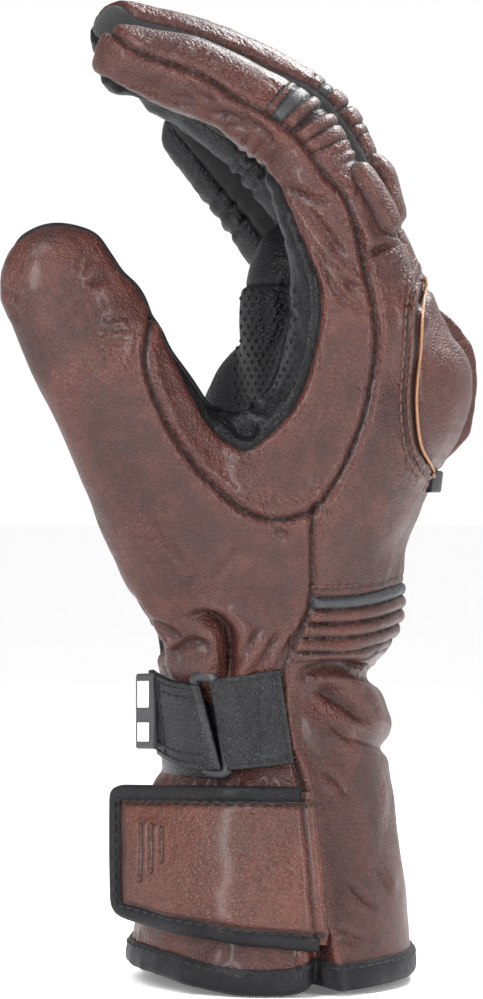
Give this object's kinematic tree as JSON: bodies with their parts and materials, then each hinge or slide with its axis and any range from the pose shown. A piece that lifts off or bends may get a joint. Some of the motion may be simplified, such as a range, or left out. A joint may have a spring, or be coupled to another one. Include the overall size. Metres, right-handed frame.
{
  "type": "long-cuff riding glove",
  "caption": "Right-hand long-cuff leather riding glove, part-curled, with knuckle armour, stretch ribs, wrist strap and cuff flap.",
  "frame": {"origin": "centre of the cuff opening, level with the lowest point of the hem", "axes": "+Z towards the fingertips, +X out of the back of the hand, -Y on the thumb side"},
  "size_m": [0.1304, 0.1149, 0.2736],
  "materials": {
    "brown_leather": "smooth full-grain leather, satin with glossy patches",
    "black_leather": "soft fine-grained black leather",
    "grip_leather": "black leather embossed with rows of small dots",
    "binding_tape": "matte black edge binding with a stitch row",
    "stretch_fabric": "matte black stretch fabric",
    "accent_rib": "matte dark grey padded fabric",
    "lining": "dark brushed lining with its membrane",
    "hook_and_loop": "black hook-and-loop tape",
    "strap": "black grained strap, stitched",
    "buckle_plastic": "satin moulded black plastic",
    "tag_rubber": "moulded rubber with plain raised white bars",
    "foam": "soft shock-absorbing foam, hidden",
    "hard_shell": "moulded hard shell, hidden under its leather",
    "copper_piping": "thin copper-coloured piping"
  },
  "bodies": {
    "cuff": {"cuff_back_panel": "brown_leather", "cuff_palm_panel": "brown_leather", "cuff_gusset": "brown_leather", "cuff_hem_binding": "binding_tape", "cuff_lining": "lining", "cuff_loop_patch": "hook_and_loop", "strap_band": "strap", "buckle_keeper": "strap"},
    "flap": {"flap_panel": "brown_leather", "flap_binding": "binding_tape", "flap_hook_patch": "hook_and_loop"},
    "buckle": {"strap_buckle": "buckle_plastic"},
    "strap_end": {"strap_tail": "strap", "strap_tag": "tag_rubber"},
    "hand": {"hand_back_panel": "brown_leather", "palm_panel": "black_leather", "palm_grip_patch": "grip_leather", "web_panel": "brown_leather", "hand_side_panel": "black_leather", "hand_lining": "lining", "knuckle_foam": "foam", "knuckle_shell": "hard_shell", "knuckle_cover": "brown_leather", "knuckle_piping": "copper_piping", "knuckle_vent": "stretch_fabric", "wrist_ribs": "brown_leather", "wrist_accent_rib": "accent_rib", "wrist_sleeve": "stretch_fabric", "index_middle_fourchette": "stretch_fabric", "middle_ring_fourchette": "stretch_fabric", "ring_little_fourchette": "stretch_fabric"},
    "thumb_base": {"thumb_base_back": "brown_leather", "thumb_base_palm": "black_leather"},
    "thumb_tip": {"thumb_tip_back": "brown_leather", "thumb_tip_palm": "black_leather", "thumb_tip_piping": "binding_tape"},
    "index_base": {"index_base_back": "brown_leather", "index_base_palm": "black_leather", "index_pad": "brown_leather", "index_ribs": "brown_leather"},
    "index_tip": {"index_tip_back": "brown_leather", "index_tip_palm": "black_leather"},
    "middle_base": {"middle_base_back": "brown_leather", "middle_base_palm": "black_leather", "middle_pad": "brown_leather", "middle_ribs": "brown_leather"},
    "middle_tip": {"middle_tip_back": "brown_leather", "middle_tip_palm": "black_leather"},
    "ring_base": {"ring_base_back": "brown_leather", "ring_base_palm": "black_leather", "ring_pad": "brown_leather", "ring_ribs": "brown_leather"},
    "ring_tip": {"ring_tip_back": "brown_leather", "ring_tip_palm": "black_leather"},
    "little_base": {"little_base_back": "brown_leather", "little_base_palm": "black_leather", "little_pad": "brown_leather", "little_ribs": "brown_leather"},
    "little_tip": {"little_tip_back": "brown_leather", "little_tip_palm": "black_leather"}
  },
  "joints": [
    {"name": "wrist_bend", "type": "hinge", "parent": "cuff", "child": "hand", "pos_m": [0.002, 0, 0.099], "axis": [0, -1, 0], "range_deg": [-12, 12], "deforming": ["wrist_ribs", "wrist_accent_rib", "wrist_sleeve"]},
    {"name": "index_knuckle", "type": "hinge", "parent": "hand", "child": "index_base", "pos_m": [0.02095, -0.037, 0.20372], "axis": [-0.0698, -0.9976, 0], "range_deg": [-12, 12]},
    {"name": "index_curl", "type": "hinge", "parent": "index_base", "child": "index_tip", "pos_m": [0.00803, -0.0361, 0.2375], "axis": [-0.0698, -0.9976, 0], "range_deg": [-20, 28], "deforming": ["index_ribs"]},
    {"name": "middle_knuckle", "type": "hinge", "parent": "hand", "child": "middle_base", "pos_m": [0.02588, -0.0125, 0.20703], "axis": [-0.0175, -0.9998, 0], "range_deg": [-12, 12]},
    {"name": "middle_curl", "type": "hinge", "parent": "middle_base", "child": "middle_tip", "pos_m": [0.014, -0.01229, 0.243], "axis": [-0.0175, -0.9998, 0], "range_deg": [-20, 28], "deforming": ["middle_ribs"]},
    {"name": "ring_knuckle", "type": "hinge", "parent": "hand", "child": "ring_base", "pos_m": [0.0236, 0.012, 0.20302], "axis": [0.0262, -0.9997, 0], "range_deg": [-12, 12]},
    {"name": "ring_curl", "type": "hinge", "parent": "ring_base", "child": "ring_tip", "pos_m": [0.00101, 0.01141, 0.231], "axis": [0.0262, -0.9997, 0], "range_deg": [-20, 28], "deforming": ["ring_ribs"]},
    {"name": "little_knuckle", "type": "hinge", "parent": "hand", "child": "little_base", "pos_m": [0.01465, 0.0355, 0.19229], "axis": [0.0698, -0.9976, 0], "range_deg": [-12, 12]},
    {"name": "little_curl", "type": "hinge", "parent": "little_base", "child": "little_tip", "pos_m": [-0.00296, 0.03427, 0.219], "axis": [0.0698, -0.9976, 0], "range_deg": [-20, 28], "deforming": ["little_ribs"]},
    {"name": "thumb_swing", "type": "hinge", "parent": "hand", "child": "thumb_base", "pos_m": [-0.02355, -0.0384, 0.13226], "axis": [0.1463, -0.9482, -0.2819], "range_deg": [-12, 6]},
    {"name": "thumb_curl", "type": "hinge", "parent": "thumb_base", "child": "thumb_tip", "pos_m": [-0.0395, -0.05, 0.163], "axis": [-0.8957, 0.066, -0.4398], "range_deg": [-4, 18]},
    {"name": "flap_open", "type": "hinge", "parent": "cuff", "child": "flap", "pos_m": [0.0161, -0.04052, 0.037], "axis": [-0.0419, 0.1211, 0.9918], "range_deg": [0, 118]},
    {"name": "strap_peel", "type": "hinge", "parent": "cuff", "child": "strap_end", "pos_m": [-0.02063, -0.03531, 0.076], "axis": [0.028, 0.0342, 0.999], "range_deg": [0, 125]},
    {"name": "buckle_lift", "type": "hinge", "parent": "cuff", "child": "buckle", "pos_m": [-0.00824, -0.04136, 0.076], "axis": [0.0147, 0.0399, 0.9991], "range_deg": [0, 25]}
  ]
}
